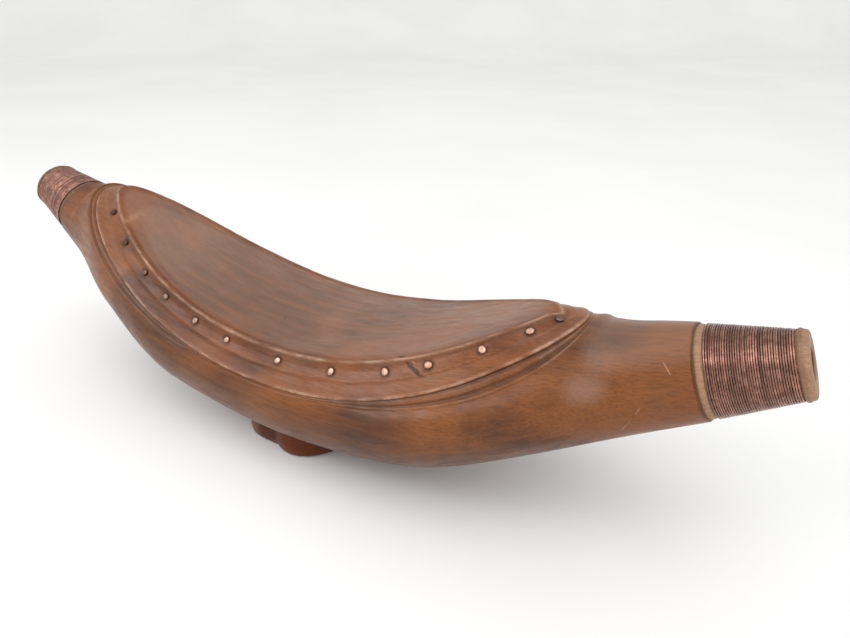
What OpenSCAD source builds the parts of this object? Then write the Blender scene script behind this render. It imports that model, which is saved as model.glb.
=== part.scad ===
// Curved wooden wind instrument body: a hollow crescent hull with a pinned-on cover,
// a wire-lapped tenon at each end and a small foot. Units are millimetres.
// X runs along the length, Y across, Z up. The origin is under the middle of the foot.

/* [Centre line] */
// radius of the curved middle of the centre line
bend_radius = 298.7; // [200:1:500]
// angle each half of the curve turns through before the straight neck
bend_angle = 22.75; // [10:0.05:40]
// height of the middle of the centre line above the table
axis_height = 36.7; // [30:0.5:60]

/* [Hull] */
// half-width of the hull at mid-length
half_width_middle = 52.1; // [30:0.1:70]
// half-width at the first station
half_width_first = 50.8; // [30:0.1:70]
// half-width at the second station
half_width_second = 39.6; // [20:0.1:60]
// depth of the hull below the centre line at mid-length
depth_middle = 33.6; // [20:0.1:50]
// depth at the first station
depth_first = 33.9; // [20:0.1:50]
// depth at the second station
depth_second = 25.6; // [15:0.1:40]
// distance of the first station from the middle
station_first = 62; // [40:1:80]
// distance of the second station from the middle
station_second = 122; // [90:1:140]
// distance from the middle where the round neck starts
neck_start = 173; // [150:1:185]
// radius of the right neck where it starts
neck_radius = 20.5; // [15:0.1:30]
// radius of the left neck where it starts
neck_radius_left = 22.2; // [15:0.1:30]
// loss of radius per millimetre along the right neck
neck_taper = 0.152; // [0.05:0.001:0.3]
// loss of radius per millimetre along the left neck
neck_taper_left = 0.19; // [0.05:0.001:0.3]
// depth of the dip in the top of the right neck, beyond the cover
neck_dip = 1.7; // [0:0.1:3]
// distance from the middle to the cut end of each neck
neck_end = 188; // [180:0.1:200]

/* [Cover] */
// half-width of the raised deck
deck_half_width = 38.2; // [25:0.1:45]
// reach of the deck to the left end
deck_reach_left = 160.6; // [120:0.1:165]
// reach of the deck to the right end
deck_reach_right = 141.5; // [120:0.1:165]
// height of the deck edge over the centre line at mid-length
deck_height = 24.8; // [15:0.1:40]
// height of the deck edge at the left end
deck_height_left = 35; // [15:0.1:45]
// height of the deck edge at the right end
deck_height_right = 32.1; // [15:0.1:45]
// height the deck edge would reach on the left without its drop at the end
deck_shoulder_left = 35.5; // [15:0.1:45]
// height the deck edge would reach on the right without its drop at the end
deck_shoulder_right = 37.7; // [15:0.1:45]
// rise of the deck between its edges
deck_crown = 2; // [0:0.1:5]
// half-width of the band at the seam
seam_half_width = 48.1; // [30:0.1:51]
// reach of the seam to the left end
seam_reach_left = 170.4; // [140:0.1:175]
// reach of the seam to the right end
seam_reach_right = 150.9; // [140:0.1:175]
// height of the seam over the centre line at mid-length
seam_height = 11.4; // [5:0.1:25]
// height of the seam at the left end
seam_height_left = 27.3; // [15:0.1:35]
// height of the seam at the right end
seam_height_right = 26.4; // [15:0.1:35]
// height the seam would reach on the left without its end rise
seam_shoulder_left = 20.9; // [10:0.1:35]
// height the seam would reach on the right without its end rise
seam_shoulder_right = 25.9; // [10:0.1:35]
// thickness of the cover flange and of the deck
cover_wall = 4.5; // [3:0.1:8]

/* [Pins] */
// places of the pins round the band, in degrees from the left end
pin_angles = [26, 40.3, 52.4, 61.7, 71.6, 80.4, 93.1, 106.3, 119, 129.2, 142.9, 157.1, 170.4];
// radius of the pin shank
pin_radius = 1.2; // [0.8:0.05:2]
// radius of the pin head
pin_head_radius = 1.8; // [1:0.05:3]
// length of the pin under the band
pin_length = 10.5; // [6:0.1:14]

/* [Tenons] */
// radius of the air bore
bore_radius = 6; // [3:0.1:9]
// radius of the air bore in the hull necks
neck_bore_radius = 5.5; // [3:0.1:9]
// radius of the spigot glued into the neck
spigot_radius = 9.5; // [8:0.1:12]
// length of the spigot
spigot_length = 18; // [10:0.5:30]
// length of the right tenon outside the neck
tenon_length = 33.8; // [20:0.1:40]
// length of the left tenon outside the neck
tenon_length_left = 30.8; // [20:0.1:40]
// loss of radius per millimetre along a tenon
tenon_taper = 0.187; // [0.05:0.001:0.3]
// width of the bare ring before the wire
bare_ring = 3; // [0.5:0.1:4]
// length of the right wire lapping
lapping_length = 27.4; // [15:0.1:32]
// number of turns of wire on the right
wire_turns = 36; // [20:1:50]
// number of turns of wire on the left
wire_turns_left = 33; // [20:1:50]

/* [Foot] */
// half-length of the square left part of the foot
foot_half_length = 24.8; // [15:0.1:40]
// half-width of the square part of the foot
foot_half_width = 37.4; // [15:0.1:40]
// half-width of the round lobe of the foot
lobe_half_width = 40.3; // [20:0.1:45]
// half-length of the round lobe of the foot
lobe_half_length = 24.2; // [15:0.1:35]
// distance of the lobe's middle to the right of the foot's middle
lobe_shift = 5.8; // [0:0.1:12]
// radius of the pegs that hold the foot
peg_radius = 3; // [2:0.1:5]

/* [Hidden] */
half_count = 44;
round_count = 32;
ring_count = 2*half_count;
curve_length = bend_radius*bend_angle*PI/180;
step_reach_left = seam_reach_left + 4.5;
step_reach_right = seam_reach_right + 1.9;
step_half_width = seam_half_width + 0.5;
wire_pitch = lapping_length/wire_turns;
wire_radius = wire_pitch/2;
left_neck = [neck_end, 184, 179.5, step_reach_left + 1.2];
right_neck = [step_reach_right + 1.2, 158.5, 164, 172, 181, neck_end];

// a point of the object: s along the centre line, y across, h above it
function turn(s) = min(abs(s), curve_length)/bend_radius*180/PI;
function beyond(s) = max(abs(s) - curve_length, 0);
function at(s, y, h) = let (a = turn(s), e = beyond(s))
    [sign(s)*(bend_radius*sin(a) + e*cos(a) - h*sin(a)), y,
     bend_radius*(1 - cos(a)) + e*sin(a) + h*cos(a) + axis_height];

// smooth curve through the hull stations
stations = [0, station_first, station_second, neck_start];
function rise(v, i) = (v[i + 1] - v[i])/(stations[i + 1] - stations[i]);
function slope(v, i) = i == 0 ? 0 : i == 3 ? -v[4] :
    rise(v, i - 1)*rise(v, i) <= 0 ? 0 :
    2*rise(v, i - 1)*rise(v, i)/(rise(v, i - 1) + rise(v, i));
function span(s) = s < stations[1] ? 0 : s < stations[2] ? 1 : 2;
function blend(v, s) = let (i = span(s), d = stations[i + 1] - stations[i], t = (s - stations[i])/d)
    v[i]*(1 + 2*t)*pow(1 - t, 2) + d*slope(v, i)*t*pow(1 - t, 2)
    + v[i + 1]*t*t*(3 - 2*t) + d*slope(v, i + 1)*t*t*(t - 1);
function neck(s) = s < 0 ? [neck_radius_left, neck_taper_left] : [neck_radius, neck_taper];
function cone(s) = neck(s)[0] - neck(s)[1]*(abs(s) - neck_start);
function half_width(s) = abs(s) >= neck_start ? cone(s) :
    blend(concat([half_width_middle, half_width_first, half_width_second], neck(s)), abs(s));
function depth(s) = abs(s) >= neck_start ? cone(s) :
    blend(concat([depth_middle, depth_first, depth_second], neck(s)), abs(s));
function neck_top(s) = half_width(s) - (s > 0 ? neck_dip*exp(-pow((s - 158)/10, 2)) : 0);

// rings that run round the cover: u goes from -1 at the left to 1 at the right and back
function u_of(k) = -cos(180*k/half_count);
function side_of(k) = k % half_count == 0 ? 0 : k < half_count ? -1 : 1;
function reach(u, left, right) = u < 0 ? left : right;
function across(u, p, q) = pow(max(0, 1 - pow(abs(u), p)), 1/q);
function law(middle, left, right, x, u) =
    middle + (reach(u, left, right) - middle)*pow(abs(u), x);
function bowed(middle, shoulder, end, u) =
    middle + (shoulder - middle)*pow(u, 2) + (end - shoulder)*pow(u, 4);
function deck_law(s) = bowed(deck_height, reach(s, deck_shoulder_left, deck_shoulder_right),
    reach(s, deck_height_left, deck_height_right), s/reach(s, deck_reach_left, deck_reach_right));
function seam_law(u) = bowed(seam_height, reach(u, seam_shoulder_left, seam_shoulder_right),
    reach(u, seam_height_left, seam_height_right), u);
function step_law(u) = law(seam_height - 0.8, seam_height_left - 0.4, seam_height_right - 1.3, 7, u);
function deck_at(u, side, inset, wide, dh) = let (
    s = u*(reach(u, deck_reach_left, deck_reach_right) - inset))
    at(s, side*(deck_half_width - wide)*across(u, 2.53, 1.51), deck_law(s) + dh);
function seam_at(u, side, inset) = at(u*(reach(u, seam_reach_left, seam_reach_right) - inset),
    side*(seam_half_width - inset)*across(u, 2.25, 1.96), seam_law(u));
function deck_ring(inset, wide, dh) =
    [for (k = [0:ring_count - 1]) deck_at(u_of(k), side_of(k), inset, wide, dh)];
function seam_ring(inset) = [for (k = [0:ring_count - 1]) seam_at(u_of(k), side_of(k), inset)];
function hollow_ring(inset, wide, share) = [for (k = [0:ring_count - 1]) let (
    s = u_of(k)*(reach(u_of(k), deck_reach_left, deck_reach_right) - inset))
    at(s, side_of(k)*wide*across(u_of(k), 2.6, 1.6), -share*depth(s))];

// faces between ring a and ring b, and over the first or last ring
function wall_faces(a, b) = [for (k = [0:ring_count - 1]) let (m = (k + 1) % ring_count)
    each [[a[k], a[m], b[m]], [a[k], b[m], b[k]]]];
function cap_faces(a, flip) = [for (k = [0:half_count - 1]) let (
    c = a[(ring_count - k) % ring_count], d = a[ring_count - k - 1])
    each [for (f = [[a[k], c, d], [a[k], d, a[k + 1]]])
        if (f[0] != f[1] && f[1] != f[2] && f[0] != f[2]) flip ? [f[2], f[1], f[0]] : f]];
function places(j) = [for (k = [0:ring_count - 1]) j*ring_count + k];
module skin(rings) {
    last = len(rings) - 1;
    polyhedron(points = [for (r = rings) each r],
        faces = concat(cap_faces(places(0), false),
            [for (j = [0:last - 1]) each wall_faces(places(j), places(j + 1))],
            cap_faces(places(last), true)));
}

// the hull: sections from the left neck, along the cover and out to the right neck
left_count = len(left_neck);
right_count = len(right_neck);
row_count = left_count + half_count + 1 + right_count;
function row_s(i) = i < left_count ? -left_neck[i] :
    i <= left_count + half_count ? let (u = u_of(i - left_count))
        u*reach(u, step_reach_left, step_reach_right) :
    right_neck[i - left_count - half_count - 1];
function row_on_cover(i) = i > left_count && i < left_count + half_count;
function top_edge(i) = let (s = row_s(i), w = half_width(s),
    u = u_of(i - left_count), y = step_half_width*across(u, 2.35, 2.15))
    row_on_cover(i) ? [y, step_law(u)/sqrt(1 - pow(y/w, 2))] :
    i == left_count ? [0, step_law(-1)] :
    i == left_count + half_count ? [0, step_law(1)] : [0, neck_top(s)];
function row_point(i, v) = let (s = row_s(i), w = half_width(s), e = top_edge(i),
    top = acos(e[0]/w), t = 2*v/round_count - 1, f = -90 + (top + 90)*abs(t))
    at(s, sign(t)*w*cos(f), (f > 0 ? e[1] : depth(s))*sin(f));
function cell(i, v) = i*(round_count + 1)
    + (v == round_count && !row_on_cover(i) ? 0 : v);
function edge_place(k) = k <= half_count ? cell(left_count + k, 0) :
    cell(left_count + ring_count - k, round_count);
module hull_skin(rings) {
    base = row_count*(round_count + 1);
    edge = [for (k = [0:ring_count - 1]) edge_place(k)];
    inner = [for (j = [0:len(rings) - 1]) [for (k = [0:ring_count - 1]) base + j*ring_count + k]];
    polyhedron(
        points = concat([for (i = [0:row_count - 1]) for (v = [0:round_count]) row_point(i, v)],
            [for (r = rings) each r]),
        faces = concat(
            [for (i = [0:row_count - 2]) for (v = [0:round_count - 1]) each [
                [cell(i, v), cell(i, v + 1), cell(i + 1, v + 1)],
                [cell(i, v), cell(i + 1, v + 1), cell(i + 1, v)]]],
            [[for (v = [round_count - 1:-1:0]) cell(0, v)]],
            [[for (v = [0:round_count - 1]) cell(row_count - 1, v)]],
            wall_faces(edge, inner[0]),
            [for (j = [0:len(rings) - 2]) each wall_faces(inner[j], inner[j + 1])],
            cap_faces(inner[len(rings) - 1], true)));
}

// move children to a neck axis with Z along it, or to a pin with Z out of the band
module on_neck(side, s) {
    p = at(side*s, 0, 0);
    translate(p) rotate([0, side*(90 - bend_angle), 0]) children();
}
function unit(v) = v/norm(v);
function band_at(u, side, f) = seam_at(u, side, 0)*(1 - f) + deck_at(u, side, 0, 0, 0)*f;
module on_band(a, side) {
    u = -cos(a);
    f = 0.73;
    p = band_at(u, side, f);
    n = unit(cross(band_at(u + 0.005, side, f) - band_at(u - 0.005, side, f),
        deck_at(u, side, 0, 0, 0) - seam_at(u, side, 0)))*(-side);
    translate(p) rotate([0, acos(n[2]), atan2(n[1], n[0])]) children();
}
module all_pins(side) {
    // the far side has no pin at the right tip
    for (a = pin_angles) if (side < 0 || a < 165) on_band(a, side) children();
}
module pin_holes() {
    for (side = [-1, 1]) all_pins(side)
        translate([0, 0, -pin_length - 0.2]) cylinder(r = pin_radius, h = pin_length + 3, $fn = 24);
}
module pegs(extra) {
    for (y = [-24, 24]) translate([0, y, 1.2]) cylinder(r = peg_radius, h = 12 + extra, $fn = 32);
}

module body() {
    color([0.45, 0.27, 0.16]) difference() {
        hull_skin([seam_ring(0), seam_ring(cover_wall), deck_ring(cover_wall + 0.1, cover_wall + 0.1, -4.2),
            deck_ring(13, 10, -4.2), hollow_ring(17, 34, 0.05), hollow_ring(30, 27, 0.6),
            hollow_ring(70, 13, 0.77)]);
        for (side = [-1, 1]) {
            on_neck(side, 112) cylinder(r = neck_bore_radius, h = 90, $fn = 48);
            on_neck(side, neck_end - spigot_length) cylinder(r = spigot_radius, h = 30, $fn = 48);
        }
        pin_holes();
        pegs(0);
    }
}

module cover() {
    color([0.5, 0.3, 0.18]) difference() {
        skin([deck_ring(110, 28, deck_crown), deck_ring(50, 14, deck_crown*0.75), deck_ring(1, 1.6, 0.35),
            deck_ring(0, 0.3, -0.5), seam_ring(0), seam_ring(cover_wall),
            deck_ring(cover_wall, cover_wall, -4), deck_ring(60, 18, -3.6), deck_ring(115, 30, -3.2)]);
        pin_holes();
    }
}

module pins(side) {
    all_pins(side) union() {
        translate([0, 0, -pin_length]) cylinder(r = pin_radius, h = pin_length + 0.2, $fn = 24);
        translate([0, 0, 0.1]) cylinder(r = pin_head_radius, h = 0.5, $fn = 24);
    }
}
module pins_front() { color([0.72, 0.42, 0.34]) pins(-1); }
module pins_back() { color([0.72, 0.42, 0.34]) pins(1); }

// sizes of a tenon: side is -1 at the left and 1 at the right, t runs outwards from the neck
function tenon_cone(side, t) = cone(side*neck_end) - tenon_taper*t;
function floor_radius(side, t) = tenon_cone(side, t) - 0.95;
function turns(side) = side < 0 ? wire_turns_left : wire_turns;
function lapping_end(side) = bare_ring + turns(side)*wire_pitch;
module tenon(side) {
    r0 = tenon_cone(side, 0) - 0.8;
    r1 = tenon_cone(side, bare_ring) - 0.6;
    t2 = lapping_end(side);
    t3 = side < 0 ? tenon_length_left : tenon_length;
    r3 = tenon_cone(side, t2) + 0.1;
    r4 = tenon_cone(side, t3) + 0.1;
    on_neck(side, neck_end) rotate_extrude($fn = 96) polygon(concat(
        [[bore_radius, -spigot_length], [spigot_radius, -spigot_length], [spigot_radius, 0],
         [r0, 0], [r1, bare_ring], [floor_radius(side, bare_ring), bare_ring],
         [floor_radius(side, t2), t2], [r3 - 0.5, t2], [r3, t2 + 0.5]],
        [for (a = [0:30:90]) [r4 - 1.2 + 1.2*cos(a), t3 - 1.2 + 1.2*sin(a)]],
        [[bore_radius + 0.6, t3], [bore_radius, t3 - 0.6]]));
}
module tenon_left() { color([0.8, 0.62, 0.42]) tenon(-1); }
module tenon_right() { color([0.8, 0.62, 0.42]) tenon(1); }

module lapping(side) {
    t2 = lapping_end(side);
    on_neck(side, neck_end) rotate_extrude($fn = 96) polygon(concat(
        [[floor_radius(side, t2), t2], [floor_radius(side, bare_ring), bare_ring]],
        [for (i = [0:turns(side) - 1]) let (t = bare_ring + wire_pitch*(i + 0.5))
            for (a = (i == 0 ? [-90:45:45] : [-45:45:45]))
                [floor_radius(side, t) + wire_radius*(1 + cos(a)), t + wire_radius*sin(a)]],
        [[floor_radius(side, t2) + wire_radius, t2]]));
}
module wire_lapping_left() { color([0.6, 0.3, 0.24]) lapping(-1); }
module wire_lapping_right() { color([0.6, 0.3, 0.24]) lapping(1); }

// loose end of the wire, lying back along the underside of the right lapping
module wire_tail() {
    t = bare_ring + lapping_length - 1;
    r = floor_radius(1, t) + 3*wire_radius;
    color([0.5, 0.25, 0.2]) on_neck(1, neck_end + t) rotate([0, 0, -105]) translate([r, 0, 0])
        rotate([0, -180 + atan(tenon_taper), 0]) {
            cylinder(r = wire_radius, h = 8, $fn = 24);
            translate([0, 1.6, 8]) rotate([0, -90, 0]) rotate([0, 0, -90])
                rotate_extrude(angle = 150, $fn = 48) translate([1.6, 0]) circle(r = wire_radius, $fn = 24);
        }
}

// plan of the foot: a squared block on the left joined to a round lobe
function foot_plan(a) = let (
    c = lobe_shift, l = lobe_half_length,
    block = pow(pow(abs(cos(a))/foot_half_length, 8) + pow(abs(sin(a))/foot_half_width, 8), -1/8),
    qa = pow(cos(a)/l, 2) + pow(sin(a)/lobe_half_width, 2), qb = -c*cos(a)/(l*l), qc = c*c/(l*l) - 1,
    lobe = (-qb + sqrt(qb*qb - qa*qc))/qa)
    cos(a) < -0.02 ? max(block, lobe) : lobe;
function foot_point(k, scale, level) = let (
    a = 180 + 360*k/ring_count,
    r = (scale < 0.5 ? 1/sqrt(pow(cos(a)/24, 2) + pow(sin(a)/30, 2)) : foot_plan(a))*scale,
    x = r*cos(a), y = r*sin(a),
    w = half_width(x), g = depth(x)*sqrt(1 - pow(y/w, 2)), m = asin(x/(bend_radius + g)))
    level < 0 ? [x, y, bend_radius + axis_height - (bend_radius + g)*cos(m)] : [x, y, level];
function foot_ring(scale, level) = [for (k = [0:ring_count - 1]) foot_point(k, scale, level)];
module foot() {
    color([0.48, 0.2, 0.12]) difference() {
        skin([foot_ring(0.35, -1), foot_ring(0.7, -1), foot_ring(0.97, -1), foot_ring(1, 2.6),
            foot_ring(0.985, 0.9), foot_ring(0.95, 0), foot_ring(0.4, 0)]);
        pegs(0);
    }
}
module foot_pegs() { color([0.7, 0.5, 0.3]) pegs(-0.5); }

body();
cover();
pins_front();
pins_back();
tenon_left();
tenon_right();
wire_lapping_left();
wire_lapping_right();
wire_tail();
foot();
foot_pegs();
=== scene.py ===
import bpy, math
import numpy as np
from mathutils import Matrix, Vector


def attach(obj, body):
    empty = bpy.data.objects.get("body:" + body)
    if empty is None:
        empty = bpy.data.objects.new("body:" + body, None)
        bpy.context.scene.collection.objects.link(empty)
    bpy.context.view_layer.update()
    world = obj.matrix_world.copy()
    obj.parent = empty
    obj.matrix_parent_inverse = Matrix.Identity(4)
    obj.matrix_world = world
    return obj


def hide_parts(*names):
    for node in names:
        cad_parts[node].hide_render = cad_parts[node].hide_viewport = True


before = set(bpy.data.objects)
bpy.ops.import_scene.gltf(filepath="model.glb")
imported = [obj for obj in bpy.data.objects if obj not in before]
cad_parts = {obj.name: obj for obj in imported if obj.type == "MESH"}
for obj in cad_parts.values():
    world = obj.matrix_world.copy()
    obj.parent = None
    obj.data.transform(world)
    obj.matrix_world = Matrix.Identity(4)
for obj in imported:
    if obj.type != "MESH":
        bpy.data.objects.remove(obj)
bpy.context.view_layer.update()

MM = 0.001

# ---------------------------------------------------------------- shape, in millimetres, as in the CAD
R, ANG, H0 = 298.7, math.radians(22.75), 36.7
S_ARC = R*ANG
NECK, NECK_END = 173.0, 188.0
NECK_R, TAPER = {-1: 22.2, 1: 20.5}, {-1: 0.19, 1: 0.152}
ST = [0.0, 62.0, 122.0, NECK]
WID = [52.1, 50.8, 39.6]
DEP = [33.6, 33.9, 25.6]
DECK = dict(w=38.2, l=160.6, r=141.5, h=24.8, hl=35.0, hr=32.1, ml=35.5, mr=37.7, crown=2.0)
SEAM = dict(w=48.1, l=170.4, r=150.9, h=11.4, hl=27.3, hr=26.4, ml=20.9, mr=25.9)
STEP = dict(w=48.6, l=174.9, r=152.8, h=10.6, hl=26.9, hr=25.1)
DECK_PQ, SEAM_PQ, STEP_PQ = (2.53, 1.51), (2.25, 1.96), (2.35, 2.15)     # how blunt each outline is
STEP_LAW = 7
PINS = [26, 40.3, 52.4, 61.7, 71.6, 80.4, 93.1, 106.3, 119, 129.2, 142.9, 157.1, 170.4]


def at(s, y, h):
    s, y, h = np.broadcast_arrays(*[np.asarray(v, float) for v in (s, y, h)])
    a = np.minimum(abs(s), S_ARC)/R
    e = np.maximum(abs(s) - S_ARC, 0)
    x = np.sign(s)*(R*np.sin(a) + e*np.cos(a) - h*np.sin(a))
    z = R*(1 - np.cos(a)) + e*np.sin(a) + h*np.cos(a) + H0
    return np.stack([x, y, z], -1)


def loft_side(v, s, sd):
    v = v + [NECK_R[sd]]
    d = [(v[i + 1] - v[i])/(ST[i + 1] - ST[i]) for i in range(3)]
    inner = [0.0 if d[i]*d[i + 1] <= 0 else 2*d[i]*d[i + 1]/(d[i] + d[i + 1]) for i in (0, 1)]
    m = [0.0] + inner + [-TAPER[sd]]
    out = v[3] - TAPER[sd]*(s - NECK)
    for i in range(3):
        q = (s >= ST[i]) & (s < ST[i + 1])
        L = ST[i + 1] - ST[i]
        t = (s - ST[i])/L
        f = (v[i]*(1 + 2*t)*(1 - t)**2 + L*m[i]*t*(1 - t)**2
             + v[i + 1]*t*t*(3 - 2*t) + L*m[i + 1]*t*t*(t - 1))
        out = np.where(q, f, out)
    return out


def loft(v, s):
    s = np.asarray(s, float)
    return np.where(s < 0, loft_side(v, abs(s), -1), loft_side(v, abs(s), 1))


def half_width(s): return loft(WID, s)
def depth(s): return loft(DEP, s)
def side(u, d): return np.where(u < 0, d["l"], d["r"])
def across(u, p, q): return np.maximum(0, 1 - abs(u)**p)**(1/q)
def law(d, x, u): return d["h"] + (np.where(u < 0, d["hl"], d["hr"]) - d["h"])*abs(u)**x
def bowed(d, u): return d["h"] + (np.where(u < 0, d["ml"], d["mr"]) - d["h"])*u**2 + (
    np.where(u < 0, d["hl"] - d["ml"], d["hr"] - d["mr"]))*u**4
def worn_end(s):
    """how far the deck's rim is worn down towards its right and left tips"""
    right, left = np.clip((s - 137.0)/4.5, 0, 1), np.clip((-s - 156.5)/4.0, 0, 1)
    return 2.6*right**2 + 0.8*left**2


def deck_h(s): return bowed(DECK, np.clip(s/side(s, DECK), -1, 1)) - worn_end(s)


def ring_u(n):
    a = 2*math.pi*np.arange(n)/n
    u = -np.cos(a)
    sg = -np.sign(np.round(np.sin(a), 9))
    return a, u, sg


def deck_pt(u, sg, inset=0.0, wide=0.0, dh=0.0):
    s = u*(side(u, DECK) - inset)
    return at(s, sg*(DECK["w"] - wide)*across(u, *DECK_PQ), deck_h(s) + dh)


def seam_pt(u, sg, inset=0.0, dh=0.0):
    return at(u*(side(u, SEAM) - inset), sg*(SEAM["w"] - inset)*across(u, *SEAM_PQ), bowed(SEAM, u) + dh)


def step_pt(u, sg):
    return at(u*side(u, STEP), sg*STEP["w"]*across(u, *STEP_PQ), law(STEP, STEP_LAW, u))


def unit(v): return v/np.maximum(np.linalg.norm(v, axis=-1, keepdims=True), 1e-9)


def wave(x, seed, scales):
    """smooth hand-made unevenness along x, always the same"""
    g = np.random.default_rng(seed)
    y = 0*np.asarray(x, float)
    for w, a in scales:
        for _ in range(3):
            y = y + a*np.sin(2*math.pi*x/(w*g.uniform(0.7, 1.4)) + g.uniform(0, 6.28))/1.7
    return y


# ---------------------------------------------------------------- mesh helpers
def mesh_piece(name, verts, faces, mat, attrs=None, smooth=True, sharp=None):
    me = bpy.data.meshes.new(name)
    me.from_pydata((np.asarray(verts)*MM).tolist(), [], faces)
    me.validate()
    if smooth:
        me.polygons.foreach_set("use_smooth", [True]*len(me.polygons))
    ob = bpy.data.objects.new(name, me)
    bpy.context.scene.collection.objects.link(ob)
    for key, val in (attrs or {}).items():
        val = np.asarray(val, float)
        if val.ndim == 2:
            at_ = me.attributes.new(key, "FLOAT_VECTOR", "POINT")
            at_.data.foreach_set("vector", val.ravel())
        else:
            at_ = me.attributes.new(key, "FLOAT", "POINT")
            at_.data.foreach_set("value", val)
    me.materials.append(mat)
    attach(ob, "root")
    return ob


def ring_faces(a, b):
    n = len(a)
    return [(a[k], a[(k + 1) % n], b[(k + 1) % n], b[k]) for k in range(n)]


def cap_ring(a, flip=False):
    n = len(a)
    h = n//2
    out = []
    for k in range(h):
        f = [a[k], a[(n - k) % n], a[n - k - 1], a[k + 1]]
        f = [v for i, v in enumerate(f) if v not in f[:i]]
        out.append(tuple(f[::-1] if flip else f))
    return out


def lathe(profile, n, side_, wob=0.0, seed=1):
    """profile: (radius, distance from the neck's end); returns verts and faces round a neck axis"""
    th = 2*math.pi*np.arange(n)/n
    V = []
    for i, (r, t) in enumerate(profile):
        rr = r + wob*wave(th*60, seed + i//3, [(190, 1.0), (75, 0.6)])
        V.append(at(side_*(NECK_END + t), rr*np.cos(th), rr*np.sin(th)))
    V = np.concatenate(V)
    F = []
    for i in range(len(profile) - 1):
        a = [i*n + k for k in range(n)]
        b = [(i + 1)*n + k for k in range(n)]
        F += ring_faces(a, b)
    return V, F


# ---------------------------------------------------------------- materials
class Nodes:
    def __init__(self, name):
        self.m = bpy.data.materials.new(name)
        self.m.use_nodes = True
        self.t = self.m.node_tree
        self.t.nodes.clear()
        self.out = self.n("ShaderNodeOutputMaterial")
        self.p = self.n("ShaderNodeBsdfPrincipled")
        self.t.links.new(self.p.outputs[0], self.out.inputs[0])

    def n(self, kind, **kw):
        x = self.t.nodes.new(kind)
        for k, v in kw.items():
            setattr(x, k, v)
        return x

    def link(self, a, b): self.t.links.new(a, b)

    def attr(self, name, vector=False):
        x = self.n("ShaderNodeAttribute", attribute_name=name)
        return x.outputs["Vector" if vector else "Fac"]

    def scale(self, vec, sc, loc=(0, 0, 0), rot=(0, 0, 0)):
        x = self.n("ShaderNodeMapping")
        x.inputs["Scale"].default_value = sc
        x.inputs["Location"].default_value = loc
        x.inputs["Rotation"].default_value = rot
        self.link(vec, x.inputs["Vector"])
        return x.outputs[0]

    def noise(self, vec, scale, detail=4.0, rough=0.55, dist=0.0):
        x = self.n("ShaderNodeTexNoise")
        x.inputs["Scale"].default_value = scale
        x.inputs["Detail"].default_value = detail
        x.inputs["Roughness"].default_value = rough
        x.inputs["Distortion"].default_value = dist
        self.link(vec, x.inputs["Vector"])
        return x.outputs["Fac"]

    def ramp(self, fac, stops, interp="EASE"):
        x = self.n("ShaderNodeValToRGB")
        x.color_ramp.interpolation = interp
        e = x.color_ramp.elements
        while len(e) < len(stops):
            e.new(0.5)
        for el, (p, c) in zip(e, stops):
            el.position = p
            el.color = (*c, 1) if isinstance(c, tuple) else (c, c, c, 1)
        self.link(fac, x.inputs[0])
        return x.outputs[0]

    def mix(self, fac, a, b, mode="MIX"):
        x = self.n("ShaderNodeMix", data_type="RGBA", blend_type=mode)
        for sock, v in ((x.inputs["Factor"], fac), (x.inputs[6], a), (x.inputs[7], b)):
            if isinstance(v, (int, float)):
                sock.default_value = v
            elif isinstance(v, tuple):
                sock.default_value = (*v, 1)
            else:
                self.link(v, sock)
        return x.outputs[2]

    def math(self, op, a, b=None, clamp=False):
        x = self.n("ShaderNodeMath", operation=op, use_clamp=clamp)
        for i, v in enumerate((a, b)):
            if v is None:
                continue
            if isinstance(v, (int, float)):
                x.inputs[i].default_value = v
            else:
                self.link(v, x.inputs[i])
        return x.outputs[0]

    def vmath(self, op, a, b=None):
        x = self.n("ShaderNodeVectorMath", operation=op)
        for i, v in enumerate((a, b)):
            if isinstance(v, tuple):
                x.inputs[i].default_value = v
            elif v is not None:
                self.link(v, x.inputs[i])
        return x.outputs["Value" if op in ("DOT_PRODUCT", "LENGTH") else "Vector"]

    def stroke(self, vec, A3, B3, wide):
        """a ragged line from A3 to B3 (s, y, height over the centre line, millimetres)"""
        A3, B3 = (tuple(v*0.001 for v in q) for q in (A3, B3))
        d = tuple(b - a for a, b in zip(A3, B3))
        rag = self.n("ShaderNodeTexNoise")
        rag.inputs["Scale"].default_value = 330.0
        rag.inputs["Detail"].default_value = 3.0
        self.link(vec, rag.inputs["Vector"])
        centred = self.vmath("SUBTRACT", rag.outputs["Color"], (0.5, 0.5, 0.5))
        off = self.vmath("MULTIPLY", centred, (wide*0.0022,)*3)
        p = self.vmath("SUBTRACT", self.vmath("ADD", vec, off), A3)
        t = self.math("MULTIPLY", self.vmath("DOT_PRODUCT", p, d), 1/sum(v*v for v in d), clamp=True)
        x = self.n("ShaderNodeVectorMath", operation="SCALE")
        x.inputs[0].default_value = d
        self.link(t, x.inputs["Scale"])
        r = self.vmath("LENGTH", self.vmath("SUBTRACT", p, x.outputs[0]))
        body_ = self.math("SUBTRACT", 1.35, self.math("MULTIPLY", r, 1000/wide), clamp=True)
        ends = self.math("MULTIPLY", self.math("MULTIPLY", t, self.math("SUBTRACT", 1.0, t)), 9.0, clamp=True)
        return self.math("MULTIPLY", body_, self.math("ADD", ends, 0.25, clamp=True))

    def bump(self, height, strength, distance, under=None):
        x = self.n("ShaderNodeBump")
        x.inputs["Strength"].default_value = strength
        x.inputs["Distance"].default_value = distance
        self.link(height, x.inputs["Height"])
        if under is not None:
            self.link(under, x.inputs["Normal"])
        return x.outputs[0]


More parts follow.
